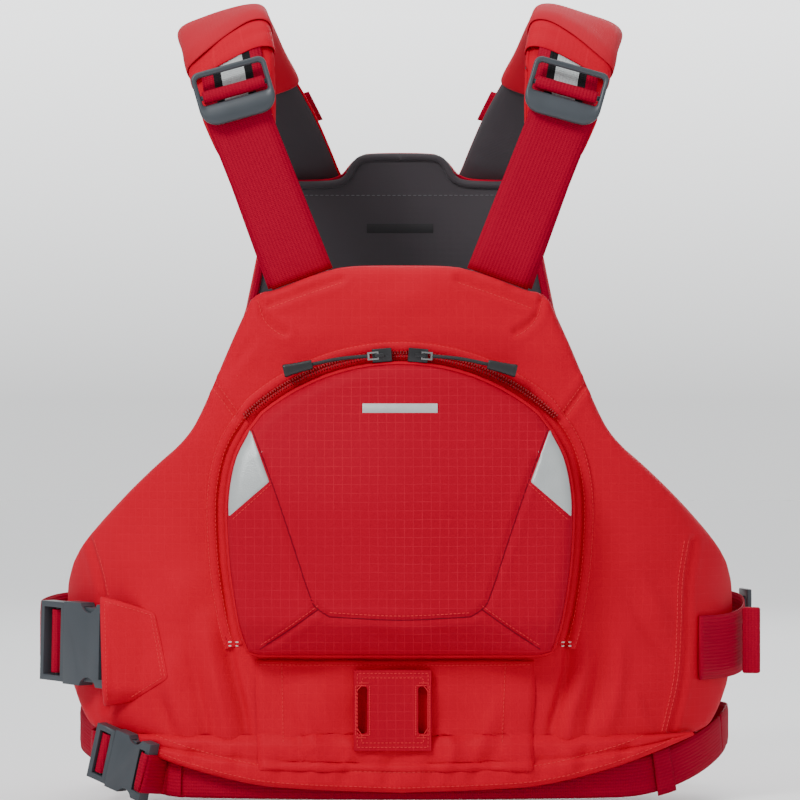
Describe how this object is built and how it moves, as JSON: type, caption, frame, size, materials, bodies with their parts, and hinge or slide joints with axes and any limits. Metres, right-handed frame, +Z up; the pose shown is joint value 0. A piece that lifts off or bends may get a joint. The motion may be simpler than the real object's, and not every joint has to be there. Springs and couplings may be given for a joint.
{
  "type": "life jacket",
  "caption": "Paddling life jacket: foam front and back panels, padded shoulder straps with ladder locks, zipped chest pocket, lash tab, side and waist webbing with side-release buckles.",
  "frame": {"origin": "midway between the two shoulder pads, level with their undersides, where the wearer's shoulders bear", "axes": "+Z up the wearer's body, -Y out of the front panel, +X to the right as seen from the front"},
  "size_m": [0.4605, 0.2869, 0.5062],
  "materials": {
    "shell_fabric": "red ripstop nylon, satin",
    "pocket_fabric": "darker red ripstop nylon, satin",
    "stretch_fabric": "red stretch fabric, matte",
    "liner_fabric": "dark grey smooth fabric",
    "webbing": "red ribbed webbing",
    "reflective_fabric": "silver reflective tape",
    "foam": "closed-cell foam, matte",
    "zip_coil": "dark red nylon coil",
    "buckle_plastic": "grey moulded acetal, matte",
    "slider_metal": "black painted metal",
    "grip_plastic": "black moulded grip",
    "cord_black": "black braided cord"
  },
  "bodies": {
    "vest": {"front_shell": "shell_fabric", "front_foam_core": "foam", "front_liner": "liner_fabric", "front_hem_skirt": "shell_fabric", "back_shell": "shell_fabric", "back_foam_core": "foam", "back_liner": "liner_fabric", "left_shoulder_pad": "shell_fabric", "right_shoulder_pad": "shell_fabric", "left_shoulder_cap": "stretch_fabric", "right_shoulder_cap": "stretch_fabric", "left_reflective_webbing": "reflective_fabric", "right_reflective_webbing": "reflective_fabric", "left_shoulder_webbing": "webbing", "right_shoulder_webbing": "webbing", "left_webbing_return": "webbing", "right_webbing_return": "webbing", "left_shoulder_loop": "webbing", "right_shoulder_loop": "webbing", "zipper_tape": "pocket_fabric", "zipper_coil": "zip_coil", "lower_front_panel": "shell_fabric", "lash_tab": "pocket_fabric", "side_buckle_patch": "shell_fabric", "side_buckle_socket": "buckle_plastic", "left_side_strap": "webbing", "right_side_strap": "webbing", "right_side_strap_tail": "webbing", "right_side_adjuster": "buckle_plastic", "belt_front": "webbing", "belt_back": "webbing", "belt_keeper": "webbing", "belt_buckle_socket": "buckle_plastic"},
    "pocket_flap": {"pocket_face": "pocket_fabric", "pocket_gusset": "shell_fabric", "left_reflector": "reflective_fabric", "right_reflector": "reflective_fabric"},
    "left_slider": {"left_zip_slider": "slider_metal"},
    "right_slider": {"right_zip_slider": "slider_metal"},
    "left_pull": {"left_pull_ring": "slider_metal", "left_pull_cord": "cord_black", "left_pull_grip": "grip_plastic"},
    "right_pull": {"right_pull_ring": "slider_metal", "right_pull_cord": "cord_black", "right_pull_grip": "grip_plastic"},
    "left_lock": {"left_shoulder_buckle": "buckle_plastic", "left_buckle_webbing": "webbing"},
    "right_lock": {"right_shoulder_buckle": "buckle_plastic", "right_buckle_webbing": "webbing"},
    "side_plug": {"side_buckle_plug": "buckle_plastic", "left_side_strap_loop": "webbing"},
    "side_upper_prong": {"side_buckle_upper_prong": "buckle_plastic"},
    "side_lower_prong": {"side_buckle_lower_prong": "buckle_plastic"},
    "belt_plug": {"belt_buckle_plug": "buckle_plastic", "belt_plug_loop": "webbing"},
    "belt_upper_prong": {"belt_buckle_upper_prong": "buckle_plastic"},
    "belt_lower_prong": {"belt_buckle_lower_prong": "buckle_plastic"}
  },
  "joints": [
    {"name": "left_zip_run", "type": "hinge", "parent": "vest", "child": "left_slider", "pos_m": [0, -0.10671, -0.33898], "axis": [0, -0.9781, -0.2079], "range_deg": [0, 36]},
    {"name": "left_pull_flip", "type": "hinge", "parent": "left_slider", "child": "left_pull", "pos_m": [-0.01365, -0.14067, -0.20463], "axis": [-0.0784, 0.0007, 0.9969], "range_deg": [0, 100]},
    {"name": "right_zip_run", "type": "hinge", "parent": "vest", "child": "right_slider", "pos_m": [0, -0.10671, -0.33898], "axis": [0, 0.9781, 0.2079], "range_deg": [0, 36]},
    {"name": "right_pull_flip", "type": "hinge", "parent": "right_slider", "child": "right_pull", "pos_m": [0.01365, -0.14067, -0.20463], "axis": [-0.0784, -0.0007, -0.9969], "range_deg": [0, 100]},
    {"name": "pocket_open", "type": "hinge", "parent": "vest", "child": "pocket_flap", "pos_m": [0, -0.1344, -0.389], "axis": [1, 0, 0], "range_deg": [0, 45]},
    {"name": "left_lock_tilt", "type": "hinge", "parent": "vest", "child": "left_lock", "pos_m": [-0.107, -0.116, -0.0265], "axis": [-0.9613, -0.0479, -0.2714], "range_deg": [0, 40]},
    {"name": "right_lock_tilt", "type": "hinge", "parent": "vest", "child": "right_lock", "pos_m": [0.107, -0.116, -0.0265], "axis": [-0.9613, 0.0479, 0.2714], "range_deg": [0, 40]},
    {"name": "side_plug_slide", "type": "slide", "parent": "vest", "child": "side_plug", "axis": [-0.6687, 0.7427, 0.0349], "range_m": [0, 0.045]},
    {"name": "side_upper_squeeze", "type": "hinge", "parent": "side_plug", "child": "side_upper_prong", "pos_m": [-0.20718, -0.06711, -0.36393], "axis": [0.7431, 0.6691, 0], "range_deg": [0, 8], "stiffness_Nm_per_rad": 0.05},
    {"name": "side_lower_squeeze", "type": "hinge", "parent": "side_plug", "child": "side_lower_prong", "pos_m": [-0.20815, -0.06603, -0.4055], "axis": [0.7431, 0.6691, 0], "range_deg": [-8, 0], "stiffness_Nm_per_rad": 0.05},
    {"name": "belt_plug_slide", "type": "slide", "parent": "vest", "child": "belt_plug", "axis": [-0.747, 0.6049, 0.2756], "range_m": [0, 0.03]},
    {"name": "belt_upper_squeeze", "type": "hinge", "parent": "belt_plug", "child": "belt_upper_prong", "pos_m": [-0.17467, -0.1012, -0.44187], "axis": [0.6293, 0.7771, 0], "range_deg": [0, 8], "stiffness_Nm_per_rad": 0.05},
    {"name": "belt_lower_squeeze", "type": "hinge", "parent": "belt_plug", "child": "belt_lower_prong", "pos_m": [-0.18058, -0.09641, -0.4684], "axis": [0.6293, 0.7771, 0], "range_deg": [-8, 0], "stiffness_Nm_per_rad": 0.05}
  ]
}
